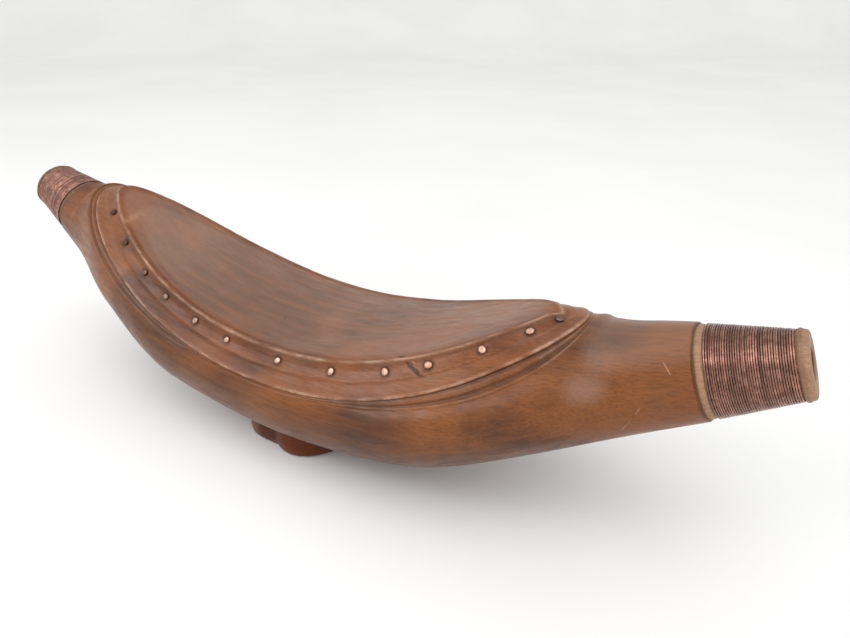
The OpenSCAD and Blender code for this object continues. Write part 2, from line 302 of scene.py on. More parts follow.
def wood(name, dark, mid, warm, grey=None, rough=(0.34, 0.52), coat=0.15, use_attr=True, grain=1.0,
         grey_amt=0.5, strokes=(), spec=0.32):
    """stained wood: streaks, fine grain and pores, then the attributes for wear, for darkening (painted shade, and a
    darker tone on the left tenon), for chips, and for pale tone and painted sheen, and the marks
    """
    k = Nodes(name)
    if use_attr:
        vec = k.attr("grain", vector=True)
    else:
        vec = k.n("ShaderNodeTexCoord").outputs["Object"]
    streak_v = k.scale(vec, (14, 190, 190))
    fine_v = k.scale(vec, (60, 1500, 1500))
    pore_v = k.scale(vec, (150, 2600, 2600))
    streak = k.noise(streak_v, 1.0, 5, 0.6, 0.6)
    fine = k.noise(fine_v, 1.0, 4, 0.65, 0.2)
    pore = k.noise(pore_v, 1.0, 2, 0.5)
    blotch = k.noise(vec, 17.0, 3, 0.5, 0.4)
    blotch2 = k.noise(k.scale(vec, (24, 42, 42), (3.1, 1.7, 0.4)), 1.0, 4, 0.6, 0.5)
    base = k.mix(k.ramp(streak, [(0.3, 0.0), (0.72, 1.0)]), dark, mid)
    base = k.mix(k.ramp(blotch, [(0.42, 0.0), (0.68, 0.75)]), base, warm)
    if grey is not None:
        base = k.mix(k.ramp(blotch2, [(0.45, 0.0), (0.7, grey_amt)]), base, grey)
    base = k.mix(k.ramp(fine, [(0.3, 0.36), (0.62, 0.0)]), base, tuple(c*0.45 for c in dark))
    base = k.mix(k.ramp(pore, [(0.27, 0.5), (0.4, 0.0)]), base, tuple(c*0.3 for c in dark))
    base = k.mix(k.ramp(fine, [(0.6, 0.0), (0.85, 0.3)]), base, tuple(min(1, c*1.5) for c in warm))
    if use_attr:
        wn = k.noise(k.scale(vec, (300, 500, 500)), 1.0, 3, 0.6)
        wear = k.math("MULTIPLY", k.attr("wear"), k.ramp(wn, [(0.3, 0.35), (0.6, 1.0)]), True)
        base = k.mix(wear, base, (0.44, 0.255, 0.165))
        # near-black colour, broken by noise: mostly painted shade in grooves, gaps, recesses, under the cover's
        # edge, round the pins and at the foot's base; on the left tenon a darker tone
        dn = k.noise(k.scale(vec, (120, 260, 260)), 1.0, 3, 0.6)
        dirt_and_painted_shade = k.math("MULTIPLY", k.attr("dirt_and_painted_shade"), k.ramp(dn, [(0.25, 0.6), (0.55, 1.0)]), True)
        base = k.mix(dirt_and_painted_shade, base, (0.028, 0.014, 0.009))
        base = k.mix(k.attr("chip"), base, (0.62, 0.36, 0.15))
        # a pale greyish colour: painted sheen on the deck and the right neck's top, a painted highlight spot on the
        # right neck's near side, and the paler tone of the foot's left block
        base = k.mix(k.attr("pale_tone_and_painted_sheen"), base, (0.33, 0.235, 0.19))
    cuts = None
    for A3, B3, wide, tone, strong in strokes:
        m = k.stroke(k.attr("flat", vector=True), A3, B3, wide)
        base = k.mix(k.math("MULTIPLY", m, strong), base, tone)
        if max(tone) < 0.1:
            cuts = m if cuts is None else k.math("MAXIMUM", cuts, m)
    k.link(base, k.p.inputs["Base Color"])
    rn = k.noise(k.scale(vec, (70, 240, 240)), 1.0, 4, 0.6)
    k.link(k.ramp(rn, [(0.3, rough[0]), (0.7, rough[1])]), k.p.inputs["Roughness"])
    k.p.inputs["Coat Weight"].default_value = coat
    k.p.inputs["Coat Roughness"].default_value = 0.3
    k.p.inputs["Specular IOR Level"].default_value = spec
    lump = k.noise(k.scale(vec, (55, 120, 120)), 1.0, 2, 0.5)
    b1 = k.bump(lump, 0.35*grain, 0.0012)
    b2 = k.bump(streak, 0.16*grain, 0.0006, b1)
    b3 = k.bump(fine, 0.22*grain, 0.00022, b2)
    b4 = k.bump(pore, 0.25*grain, 0.00012, b3)
    if cuts is not None:
        b4 = k.bump(k.math("SUBTRACT", 1.0, cuts), 0.8, 0.0006, b4)
    k.link(b4, k.p.inputs["Normal"])
    return k.m


# scratches and cuts: ends as (s, y, height over the centre line), half-width, colour, strength
BLACK, LIGHT = (0.016, 0.007, 0.004), (0.42, 0.24, 0.15)
RAW = (0.5, 0.24, 0.08)
COVER_MARKS = [
    ((73, -29, 29.6), (90, -36, 21.8), 0.75, BLACK, 0.85), ((76, -29.5, 29.6), (92, -34.5, 23.5), 0.3, LIGHT, 0.6),
    ((45, 5, 28.2), (51, 1.5, 28.4), 0.3, BLACK, 0.85), ((51, 1.5, 28.4), (56, -1.5, 28.6), 0.35, BLACK, 0.85),
    ((86, -12, 30.6), (97, 4, 31.0), 0.5, BLACK, 0.45), ((83, -9, 30.4), (93, 3, 31.0), 0.3, LIGHT, 0.5),
    ((90, -13, 30.4), (100, 2, 31.4), 0.28, LIGHT, 0.45),
    ((-134, -19, 32.6), (-137, -5, 33.6), 2.2, LIGHT, 0.35),
    ((-11.5, -15, 26.6), (-10.5, -15, 26.6), 0.5, BLACK, 0.8), ((20, -24, 26.3), (31, -20, 26.6), 0.22, LIGHT, 0.4),
    ((-60, -22, 28.6), (-48, -27, 27.6), 0.22, LIGHT, 0.35), ((-95, -16, 31), (-84, -20, 30), 0.2, BLACK, 0.4)]
HULL_MARKS = [
    ((169, -21.2, -2.2), (160, -20.8, -11.5), 0.3, LIGHT, 0.6),
    ((179, -15.4, 12.4), (181, -17.6, 8.2), 0.26, LIGHT, 0.6),
    ((131, -33.5, 15.6), (141, -28.5, 19.4), 0.5, RAW, 0.5), ((142, -27.5, 18.5), (149, -22, 20), 0.45, RAW, 0.55),
    ((60, -49, -6), (78, -47, -7.5), 0.25, BLACK, 0.35), ((-72, -45, 6), (-60, -48, 4), 0.25, LIGHT, 0.3)]
HULL = wood("hull_wood", (0.058, 0.015, 0.003), (0.155, 0.045, 0.0075), (0.25, 0.075, 0.01),
            (0.15, 0.066, 0.026), grey_amt=0.3, rough=(0.28, 0.46), coat=0.08, strokes=HULL_MARKS)
COVER = wood("cover_wood", (0.08, 0.021, 0.0055), (0.185, 0.055, 0.013), (0.27, 0.082, 0.015), (0.21, 0.1, 0.06),
             rough=(0.3, 0.48), coat=0.08, grey_amt=0.4, strokes=COVER_MARKS)
FOOT = wood("foot_wood", (0.035, 0.007, 0.0012), (0.088, 0.019, 0.0025), (0.145, 0.031, 0.004),
            rough=(0.3, 0.44), coat=0.04, spec=0.16)
PALE = wood("light_wood", (0.17, 0.085, 0.044), (0.38, 0.215, 0.128), (0.45, 0.25, 0.138), (0.32, 0.19, 0.125),
            rough=(0.5, 0.7), coat=0.0, use_attr=True, grain=0.8, grey_amt=0.5)


def copper(name, dull, dark, mid, rough, seed, tarnish=0.5):
    k = Nodes(name)
    vec = k.n("ShaderNodeTexCoord").outputs["Object"]
    a = k.noise(vec, 420.0, 4, 0.6)
    b = k.noise(k.scale(vec, (1, 1, 1), (seed, 2.0, 1.0)), 90.0, 3, 0.55)
    c = k.mix(k.ramp(a, [(0.32, 0.0), (0.7, 1.0)]), dark, mid)
    c = k.mix(k.ramp(b, [(0.4, 0.0), (0.75, tarnish)]), c, (0.11, 0.06, 0.048))
    c = k.mix(k.ramp(k.attr("tone"), [(0.0, 0.0), (0.85, 1.0)]), dull, c)
    k.link(c, k.p.inputs["Base Color"])
    k.p.inputs["Metallic"].default_value = 1.0
    k.link(k.ramp(b, [(0.3, rough[0]), (0.75, rough[1])]), k.p.inputs["Roughness"])
    k.link(k.bump(a, 0.25, 0.0001), k.p.inputs["Normal"])
    return k.m


# the first colour is the dull one, mixed in by the tone attribute: on the wire the darker turns and the painted
# shade of the loose end, on the pins painted shade for the heads that catch no highlight
WIRE = copper("copper_wire", (0.16, 0.082, 0.062), (0.25, 0.122, 0.092), (0.5, 0.27, 0.21), (0.2, 0.34), 1.0, 0.2)
PIN = copper("pin_metal", (0.1, 0.05, 0.035), (0.5, 0.27, 0.19), (0.8, 0.52, 0.4), (0.4, 0.58), 5.0, 0.2)


# along each tenon from the neck's cut end: where the wire starts and ends, and the tip
T1, T2, TL = 3.0, {-1: 28.1, 1: 30.4}, {-1: 30.8, 1: 33.8}
TENON_TAPER, FLOOR_DROP, BORE_R, SPIGOT_R = 0.187, 0.95, 6.0, 9.5


def cone(sd, t): return NECK_R[sd] - TAPER[sd]*(NECK_END - NECK) - TENON_TAPER*t


# ---------------------------------------------------------------- cover: rings round it, from the deck outwards
NR = 900      # points in each ring
a, u, sg = ring_u(NR)
D = deck_pt(u, sg)
A = seam_pt(u, sg)
along = unit(np.roll(D, -1, 0) + np.roll(A, -1, 0) - np.roll(D, 1, 0) - np.roll(A, 1, 0))
tb = unit(D - A)
nb = unit(np.cross(tb, along))
nb *= np.sign((nb*np.stack([u, sg*0.5 + 0*u, 0.4 + 0*u], -1)).sum(-1, keepdims=True))
LB = np.linalg.norm(D - A, axis=-1)
arc = np.concatenate([[0], np.cumsum(np.linalg.norm(np.diff(D, axis=0), axis=1))])
near = sg < 0
inw = unit(deck_pt(u, sg, 6, 4) - D)
upn = unit(np.cross(along, inw)); upn *= np.sign(upn[:, 2:3])
DECK_ROWS = 44
edge_wob = wave(arc, 3, [(60, 0.14), (22, 0.08), (9, 0.04)])
seam_wob = wave(arc, 5, [(70, 0.18), (25, 0.1), (8, 0.05)])
right_end = np.clip((u - 0.35)/0.5, 0, 1)      # 1 towards the right end

rows, wear_rows, dirt_and_shade_rows = [], [], []


def add(P, wear=0.0, dirt_and_painted_shade=0.0):
    rows.append(P)
    wear_rows.append(np.broadcast_to(wear, (NR,)).astype(float))
    dirt_and_shade_rows.append(np.broadcast_to(dirt_and_painted_shade, (NR,)).astype(float))


for lam in np.linspace(0.02, 0.86, DECK_ROWS):
    s = u*side(u, DECK)*lam
    y = sg*DECK["w"]*lam*across(u, *DECK_PQ)
    swell = DECK["crown"]*(1 - lam**2)*across(np.abs(s/side(u, DECK)), *DECK_PQ)
    add(at(s, y, deck_h(s) + swell))
last = rows[-1]
rim = deck_pt(u, sg, 5.0, 3.2, 0.1)
for t in (0.3, 0.6, 0.85):
    add(last*(1 - t) + rim*t)
ew = (0.55 + 0.45*wave(arc, 11, [(50, 0.8), (18, 0.5)])).clip(0.1, 1)
ew = ew*np.where(near, 1, 0.8)
# the deck's rim: a low rounded lip, rubbed pale along its top
for c, d_, w_ in ((3.4, 0.0, 0), (2.4, -0.12, 0), (1.6, -0.05, 0.15), (0.95, 0.22, 0.55), (0.45, 0.22, 0.95),
                  (0.1, 0.02, 0.9)):
    add(D + inw*c + upn*(d_ + edge_wob[:, None]*0.5), w_*ew)
# below the rim: painted shade in the step down under it, stronger towards the right end
for dn, off, w_, di in ((0.35, 0.0, 0.55, 0), (0.8, -0.35, 0.15, 0.15), (1.5, -0.75, 0, 0.3), (2.4, -0.85, 0, 0.12)):
    k_ = 0.55 + 0.6*right_end
    add(D - tb*dn + nb*(off*k_ + edge_wob*0.4)[:, None], w_*ew, di*k_)
lo_, hi_ = 2.4/LB, 1 - 2.2/LB
mid_line = 0.5 + 0.04*wave(arc, 17, [(90, 1.0)])
cw = (0.5 + 0.5*wave(arc, 19, [(40, 0.9), (14, 0.5)])).clip(0, 1)*np.clip(1.25 - abs(u - 0.1)*1.3, 0.15, 1)
# the band: a shallow hollow under the rim, a faint ridge along its middle, and a second hollow
for g, off, w_ in ((0.15, -0.8, 0), (0.35, -0.7, 0), (0.6, -0.55, 0), (0.8, -0.4, 0), (0.92, -0.24, 0.06),
                   (1.0, -0.2, 0.24)):
    add(D - tb*(LB*(lo_ + (mid_line - lo_)*g))[:, None] + nb*(off + 0.3*edge_wob)[:, None], w_*cw)
for g, off, w_ in ((0.04, -0.32, 0.12), (0.12, -0.52, 0), (0.3, -0.5, 0), (0.55, -0.36, 0), (0.8, -0.2, 0),
                   (1.0, -0.1, 0)):
    add(D - tb*(LB*(mid_line + (hi_ - mid_line)*g))[:, None] + nb*(off + 0.3*seam_wob)[:, None], w_*cw)
# the cover's edge, over the seam
sw = (0.6 + 0.5*wave(arc, 23, [(45, 0.7), (12, 0.5)])).clip(0.15, 1)
for up_, off, w_ in ((1.5, 0.0, 0.1), (0.95, 0.12, 0.5), (0.5, 0.12, 0.95), (0.15, -0.05, 1.0)):
    add(A + tb*up_ + nb*(off + 0.5*seam_wob)[:, None], w_*sw)
# the underside of the cover's edge, tucked in over the seam: painted shade, full at the last rows
add(A - nb*0.5 - tb*0.1 + nb*(0.5*seam_wob)[:, None], 0.45*sw, 0.1)
add(A - nb*1.3 - tb*0.15, 0.0, 0.8)
add(seam_pt(u, sg, 3.0, 0.0), 0.0, 1.0)
add(seam_pt(u, sg, 9.0, 0.0), 0.0, 1.0)

V = np.concatenate(rows)
nrow = len(rows)
idx = [[r*NR + k for k in range(NR)] for r in range(nrow)]
F = cap_ring(idx[0])
for r in range(nrow - 1):
    F += ring_faces(idx[r], idx[r + 1])
F += cap_ring(idx[-1], True)
F = [f[::-1] for f in F]
wear = np.concatenate(wear_rows)
dirt_and_painted_shade = np.concatenate(dirt_and_shade_rows)


def straight(V):
    """the point in the straightened wood: metres along the grain and across it"""
    x, y, z = V[:, 0], V[:, 1], V[:, 2] - H0
    th = np.clip(np.arctan2(abs(x), R - z), 0, ANG)
    rad = np.hypot(x, R - z)
    ex = (abs(x) - R*math.sin(ANG))*math.cos(ANG) + (z - R*(1 - math.cos(ANG)))*math.sin(ANG)
    ex = np.maximum(ex, 0)*(th >= ANG - 1e-6)
    s = np.sign(x)*(R*th + ex)
    hN = -(abs(x) - R*math.sin(ANG))*math.sin(ANG) + (z - R*(1 - math.cos(ANG)))*math.cos(ANG)
    h = np.where(th >= ANG - 1e-6, hN, R - rad)
    return np.stack([s, y, h], -1)


def flat_coords(V): return straight(V)*MM


def grain_coords(V):
    g = straight(V)*MM
    g[:, 2] += 0.35*g[:, 0]**2
    g[:, 1] += 0.03*g[:, 0]
    return g


SP = straight(V)
chip = np.zeros(len(V))
pale_tone_and_painted_sheen = np.zeros(len(V))
deck_n = (DECK_ROWS + 3)*NR     # the deck's rows: painted sheen, a greyer top, more so towards the left
pale_tone_and_painted_sheen[:deck_n] = 0.2 + 0.16*np.clip(-(SP[:deck_n, 0] + 40)/70, 0, 1)
pale_tone_and_painted_sheen[DECK_ROWS*NR:deck_n] *= 0.6


pin_pos = {}
for sd in (-1, 1):
    for ang in PINS if sd < 0 else PINS[:-1]:
        uu = -math.cos(math.radians(ang))
        P0, P1 = seam_pt(np.array([uu]), np.array([sd]))[0], deck_pt(np.array([uu]), np.array([sd]))[0]
        e = 0.004
        Q0 = seam_pt(np.array([uu - e, uu + e]), np.array([sd, sd]))
        Q1 = deck_pt(np.array([uu - e, uu + e]), np.array([sd, sd]))
        f = 0.73
        al = unit((Q0[1]*(1 - f) + Q1[1]*f) - (Q0[0]*(1 - f) + Q1[0]*f))
        n = unit(np.cross(P1 - P0, al))
        n = n*np.sign(n@np.array([uu, sd*0.5, 0.4]))
        pin_pos[(sd, ang)] = (P0*(1 - f) + P1*f, n)
# painted shadow of the gap round each pin, with a small dent in the wood
for (sd, ang), (p, n) in pin_pos.items():
    d = np.linalg.norm(V - (p - n*0.6), axis=1)
    m = np.clip((3.1 - d)/1.0, 0, 1)
    dirt_and_painted_shade = np.maximum(dirt_and_painted_shade, 0.75*m)
    V -= n*(0.35*np.clip((3.0 - d)/1.0, 0, 1))[:, None]

# ---------------------------------------------------------------- body: hull skin from station rows
HN = NR//2
uu = u[:HN + 1]
M = 120
nl = 22         # rows along the left neck, before the cover
row_s = [-q for q in np.linspace(NECK_END, STEP["l"] + 0.8, nl)] + list(uu*side(uu, STEP))
row_s = np.array(row_s + list(np.linspace(STEP["r"] + 0.8, NECK_END, 34)))
NRW = len(row_s)
tt = np.linspace(-1, 1, M + 1)
tt = np.sign(tt)*(abs(tt)**0.82)
BW = np.zeros((NRW, M + 1, 3))
Bdirt_and_shade = np.zeros((NRW, M + 1))
Bwear = np.zeros((NRW, M + 1))
for i, s in enumerate(row_s):
    w = float(half_width(s))
    j = i - nl
    if 0 < j < HN:
        y3 = STEP["w"]*float(across(uu[j], *STEP_PQ))
        h3 = float(law(STEP, STEP_LAW, uu[j]))
        H = h3/math.sqrt(1 - (y3/w)**2)
    elif j == 0 or j == HN:
        y3, H = 0.0, float(law(STEP, STEP_LAW, np.array(uu[j])))
    else:
        y3 = 0.0
        over = abs(s) - (STEP["l"] if s < 0 else STEP["r"])
        H0_ = float(law(STEP, STEP_LAW, np.array(-1.0 if s < 0 else 1.0)))
        H = w - (1.7*math.exp(-((s - 158)/10)**2) if s > 0 else 0.0)
        H = H + (H0_ + 0.2 - H)*math.exp(-(over/1.8)**2) - 0.4*math.exp(-((over - 4.0)/2.0)**2)
    top = math.acos(min(1, y3/w))
    f = -math.pi/2 + (top + math.pi/2)*abs(tt)
    y = np.sign(tt)*w*np.cos(f)
    h = np.where(f > 0, H*np.sin(f), float(depth(s))*np.sin(f))
    lump = 1 + 0.006*wave(np.array([s]), 31, [(60, 1.0)])[0]
    BW[i] = at(s, y*lump, h*lump)


def cell(i, v):
    return i*(M + 1) + (0 if v == M and not (nl < i < nl + HN) else v)


BF = []
for i in range(NRW - 1):
    for v in range(M):
        q = [cell(i, v), cell(i, v + 1), cell(i + 1, v + 1), cell(i + 1, v)]
        q = [x for n_, x in enumerate(q) if x not in q[:n_]]
        BF.append(tuple(q))
BV = [BW.reshape(-1, 3)]
Bd = [Bdirt_and_shade.ravel()]
Bw = [Bwear.ravel()]
count = len(BV[0])
edge = [cell(nl + k, 0) if k <= HN else cell(nl + NR - k, M) for k in range(NR)]
# the ledge between the hull's edge and the cover: two rounded ridges with a groove between them, with painted shade
# in the groove, growing darkest at the seam under the cover's edge
R3 = step_pt(u, sg)
R2 = seam_pt(u, sg, 0.35, -0.1)
gap = np.linalg.norm(R2 - R3, axis=-1)
al3 = unit(np.roll(R3, -1, 0) - np.roll(R3, 1, 0))
n3 = unit(np.cross(unit(R2 - R3 + 1e-6), al3))
n3 *= np.sign((n3*np.stack([u, sg*0.6, 0.5 + 0*u], -1)).sum(-1, keepdims=True))
amp = np.clip((gap - 1.5)*0.2, 0.25, 1.5)
prev = edge
for g, o, w_, di in ((0.05, 0.14, 0.4, 0), (0.12, 0.05, 0.25, 0), (0.2, -0.35, 0, 0.12), (0.29, -0.85, 0, 0.42),
                     (0.36, -0.85, 0, 0.4), (0.45, -0.3, 0.1, 0.1), (0.54, 0.08, 0.3, 0), (0.63, 0.1, 0.2, 0),
                     (0.73, -0.15, 0, 0.05), (0.83, -0.55, 0, 0.25), (0.92, -0.8, 0, 0.55), (0.97, -0.75, 0, 0.8),
                     (1.0, -0.6, 0, 0.9)):
    P = R3*(1 - g) + R2*g + n3*(amp*o)[:, None]
    BV.append(P)
    Bd.append(np.full(NR, di)*np.clip(gap/3, 0.3, 1))
    Bw.append(np.full(NR, w_)*sw*0.8)
    cur = list(range(count, count + NR))
    count += NR
    BF += [f[::-1] for f in ring_faces(cur, prev)]
    prev = cur
# two rows tucked under the cover's edge, at full painted shade
for P in (seam_pt(u, sg, 3.5, -0.1), seam_pt(u, sg, 9.5, -0.3)):
    BV.append(P); Bd.append(np.ones(NR)); Bw.append(np.zeros(NR))
    cur = list(range(count, count + NR)); count += NR
    BF += [f[::-1] for f in ring_faces(cur, prev)]
    prev = cur
BF += [f[::-1] for f in cap_ring(prev, True)]
# the cut ends of the necks, set back round the tenon, with painted shade in the recess round it
for sd, i in ((-1, 0), (1, NRW - 1)):
    ringi = [cell(i, v) for v in range(M)]
    prevr = ringi
    base = BW[i, :M]
    c = at(sd*NECK_END, 0, 0)
    rad = unit(base - c)
    axis_ = unit(at(sd*(NECK_END + 10), 0, 0) - c)
    r_out = np.linalg.norm(base - c, axis=1)
    thv = np.arctan2((base - c)@unit(at(sd*NECK_END, 0, 1) - c), base[:, 1])
    ragged = 0.25 + 0.2*wave(thv*30, 41, [(40, 1.0)])
    for rr, back, di, w_ in ((r_out - 0.3, ragged, 0.2, 0.5), (r_out*0 + cone(sd, 0) - 0.75, 0.15, 0.75, 0.0),
                             (r_out*0 + cone(sd, 0) - 0.95, -1.6, 1.0, 0.0), (r_out*0 + 9.0, -1.6, 1.0, 0.0)):
        P = c + rad*(rr[:, None]) + axis_*(np.broadcast_to(back, (M,)))[:, None]
        BV.append(P); Bd.append(np.full(M, di)); Bw.append(np.full(M, w_))
        cur = list(range(count, count + M)); count += M
        f = ring_faces(prevr, cur)
        BF += f if sd < 0 else [q[::-1] for q in f]
        prevr = cur
    BF.append(tuple(prevr) if sd > 0 else tuple(prevr[::-1]))
BV = np.concatenate(BV); Bd = np.concatenate(Bd); Bw = np.concatenate(Bw)
BS = straight(BV)
# painted sheen on the right neck's top, and a painted highlight spot on its near side
body_painted_sheen = 0.22*np.clip((BS[:, 0] - 150)/8, 0, 1)*np.clip((BS[:, 2] - 10)/6, 0, 1)
painted_highlight_spot = 1 - np.sqrt(((BS[:, 0] - 151)/11)**2 + ((BS[:, 1] + 24)/8)**2 + ((BS[:, 2] - 8)/7)**2)
body_painted_sheen = np.maximum(body_painted_sheen, 0.3*np.clip(painted_highlight_spot*1.6, 0, 1))
cover = mesh_piece("cover_wood_carved", V, F, COVER,
                   dict(grain=grain_coords(V), flat=flat_coords(V), wear=wear, dirt_and_painted_shade=dirt_and_painted_shade, chip=chip, pale_tone_and_painted_sheen=pale_tone_and_painted_sheen))
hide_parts("cover")
body = mesh_piece("body_wood_carved", BV, BF, HULL,
                  dict(grain=grain_coords(BV), flat=flat_coords(BV), wear=Bw, dirt_and_painted_shade=Bd, chip=np.zeros(len(BV)),
                       pale_tone_and_painted_sheen=body_painted_sheen))
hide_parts("body")

# ---------------------------------------------------------------- pins
def pins(name, sd, node):
    V_, F_, Vr, Fr = [], [], [], []
    # radius and height: a low domed head on a tapering shank
    prof = [(0.0, 0.44), (0.6, 0.43), (1.05, 0.38), (1.35, 0.28), (1.52, 0.12), (1.58, -0.1), (1.55, -0.5),
            (1.1, -0.6), (1.1, -8.0), (0.0, -9.5)]
    n_ = 28     # points round each pin
    own = PINS if sd < 0 else PINS[:-1]
    for ang in own:
        p, n = pin_pos[(sd, ang)]
        g = np.random.default_rng(int(ang*10) + 5*sd + 50)
        X = unit(np.cross(n, [0.3, 0.2, 1.0])); Y = np.cross(n, X)
        th = 2*math.pi*np.arange(n_)/n_
        el = 1 + 0.08*np.cos(2*th + g.uniform(0, 6))
        start = sum(len(q) for q in V_)
        tilt = n + X*g.uniform(-0.08, 0.08) + Y*g.uniform(-0.08, 0.08)
        tilt = unit(tilt)
        rr = g.uniform(0.9, 1.05)
        for r_, z_ in prof:
            spoke = X[None]*np.cos(th)[:, None] + Y[None]*np.sin(th)[:, None]
            V_.append(p + spoke*(r_*rr*el)[:, None] + tilt*(z_ - 0.55))
        for q in range(len(prof) - 1):
            F_ += ring_faces([start + q*n_ + k for k in range(n_)], [start + (q + 1)*n_ + k for k in range(n_)])
    V_ = np.concatenate(V_)
    # painted highlight: pin heads bright in the middle and on the right, and dull with painted shade at the left
    # end, where they catch no highlight
    painted_glint_level = [np.interp(q, [26, 45, 75, 100, 155, 170], [0.0, 0.1, 0.55, 0.9, 1.0, 0.25]) for q in own]
    tone = np.repeat(painted_glint_level, len(prof)*n_)
    ob = mesh_piece(name, V_, F_, PIN, dict(tone=tone))
    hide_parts(node)


pins("pin_heads_front", -1, "pins_front")
pins("pin_heads_back", 1, "pins_back")

# ---------------------------------------------------------------- tenons and wire


def floor_r(sd, t): return cone(sd, t) - FLOOR_DROP


def tenon(name, sd, node):
    t2, tl = T2[sd], TL[sd]
    n_ = 144     # points round the tenon
    spigot, deep = SPIGOT_R - 0.1, -17
    prof = [(spigot, deep), (spigot, -1.2), (cone(sd, 0) - 2.0, -1.2), (cone(sd, 0) - 1.1, -0.5),
            (cone(sd, 0) - 0.85, 0.2), (cone(sd, 1) - 0.7, 1.2), (cone(sd, T1) - 0.75, T1 - 0.35),
            (cone(sd, T1) - 1.0, T1)]
    prof += [(floor_r(sd, t), t) for t in np.linspace(T1 + 0.1, t2 - 0.1, 12)]
    prof += [(cone(sd, t2) - 0.45, t2), (cone(sd, t2) - 0.1, t2 + 0.3), (cone(sd, t2) + 0.08, t2 + 0.7),
             (cone(sd, t2) + 0.0, t2 + 1.2), (cone(sd, tl) + 0.1, tl - 1.3)]
    prof += [(cone(sd, tl) - 1.1 + 1.2*math.cos(q), tl - 1.2 + 1.2*math.sin(q))
             for q in np.linspace(0.2, math.pi/2, 6)]
    prof += [(9.5, tl + 0.0), (8.0, tl - 0.03), (6.7, tl - 0.05), (6.2, tl - 0.3), (BORE_R, tl - 0.8),
             (BORE_R, 10), (BORE_R, deep), (spigot, deep)]
    V_, F_ = lathe(prof, n_, sd, 0.05, 60)
    g = straight(V_)*MM
    tenon_dirt_and_shade = np.zeros((len(prof), n_))
    # painted shade at the shoulder in the neck's recess, under the first turns of wire, beside the last turn and
    # inside the bore
    for rows_, how in ((slice(2, 5), 0.5), (slice(5, 6), 0.1), (slice(7, 10), 0.7), (slice(-18, -15), 0.35),
                       (slice(-4, None), 1.0)):
        tenon_dirt_and_shade[rows_] = how
    # the left tenon is darker from its shoulder on
    if sd < 0:
        tenon_dirt_and_shade[4:] = np.maximum(tenon_dirt_and_shade[4:], 0.55)
    if sd < 0:
        F_ = [f[::-1] for f in F_]
    clean = np.zeros(len(V_))
    ob = mesh_piece(name, V_, F_, PALE, dict(grain=g, wear=clean, dirt_and_painted_shade=tenon_dirt_and_shade.ravel(), chip=clean, pale_tone_and_painted_sheen=clean))
    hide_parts(node)


tenon("tenon_left_turned", -1, "tenon_left")
tenon("tenon_right_turned", 1, "tenon_right")


def tube(P, r, n=10):
    P = np.asarray(P, float)
    T = unit(np.gradient(P, axis=0))
    N = unit(np.cross(T, [0.13, 0.27, 0.95]))
    B = np.cross(T, N)
    th = 2*math.pi*np.arange(n)/n
    V_ = P[:, None] + r*(N[:, None]*np.cos(th)[None, :, None] + B[:, None]*np.sin(th)[None, :, None])
    L = len(P)
    F_ = []
    for i in range(L - 1):
        F_ += ring_faces([i*n + k for k in range(n)], [(i + 1)*n + k for k in range(n)])
    F_.append(tuple(range(n))[::-1]); F_.append(tuple((L - 1)*n + k for k in range(n)))
    return V_.reshape(-1, 3), F_


def coil(name, sd, node, seed):
    turns = 33 if sd < 0 else 36
    pitch = (T2[sd] - T1)/turns
    q = np.linspace(0, turns, turns*72 + 1)
    g = np.random.default_rng(seed)
    knots = np.arange(turns + 1)
    t = T1 + pitch*0.5 + (pitch*(turns - 1))*q/turns + np.interp(q, knots, g.normal(0, 0.07, turns + 1))*pitch
    r = floor_r(sd, t) + 0.38 + 0.05*np.interp(q, knots, g.normal(0, 0.7, turns + 1))
    th = 2*math.pi*q*sd + 1.0
    P = at(sd*(NECK_END + t), r*np.cos(th), r*np.sin(th))
    V_, F_ = tube(P, 0.355)
    tone = np.interp(q, knots, g.uniform(0, 1, turns + 1))*0.7
    tone = tone + 0.3*g.uniform(0, 1, len(q)//24 + 1)[(np.arange(len(q))//24)]
    ob = mesh_piece(name, V_, F_, WIRE, dict(tone=np.repeat(tone, 10)))
    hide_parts(node)


coil("wire_coil_left", -1, "wire_lapping_left", 3)
coil("wire_coil_right", 1, "wire_lapping_right", 4)

# the loose end: off the last turn, back under the lapping, with a small hook
tq = np.linspace(0, 1, 60)
tail_t = 29.8 - 9.5*tq
ang_t = math.radians(-104) + 0.10*np.sin(tq*3.0)
rad_t = floor_r(1, tail_t) + 1.15 + 0.9*np.sin(np.pi*tq)**2*0.6 + 0.9*tq**3
P = at(NECK_END + tail_t, rad_t*np.cos(ang_t)*-1, rad_t*np.sin(ang_t))
V_, F_ = tube(P, 0.34, 10)
# the loose end gets the dull wire colour all along: painted shade
ob = mesh_piece("wire_loose_end", V_, F_, WIRE, dict(tone=np.zeros(len(V_))))
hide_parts("wire_tail")

# ---------------------------------------------------------------- foot
def foot_plan(a_):
    ca, sa = np.cos(a_), np.sin(a_)
    c, l, wl = 5.8, 24.2, 40.3          # the lobe's shift, half length and half width
    block_l, block_w = 24.8, 37.4       # the block's half length and half width
    block = ((abs(ca)/block_l)**8 + (abs(sa)/block_w)**8)**(-1/8)
    qa = (ca/l)**2 + (sa/wl)**2; qb = -c*ca/l**2; qc = c*c/l**2 - 1
    lobe = (-qb + np.sqrt(qb*qb - qa*qc))/qa
    return np.where(ca < -0.02, np.maximum(block, lobe), lobe)


def foot_at(scale, level, n=360, round_=0.0):
    a_ = math.pi + 2*math.pi*np.arange(n)/n
    r = foot_plan(a_)*scale
    if round_ > 0:
        r = r*(1 - round_) + round_*scale/np.sqrt((np.cos(a_)/24)**2 + (np.sin(a_)/30)**2)
    x, y = r*np.cos(a_), r*np.sin(a_)
    if level is None:
        g = depth(x)*np.sqrt(1 - (y/half_width(x))**2)
        m = np.arcsin(x/(R + g))
        return np.stack([x, y, R + H0 - (R + g)*np.cos(m)], -1)
    return np.stack([x, y, 0*x + level], -1)


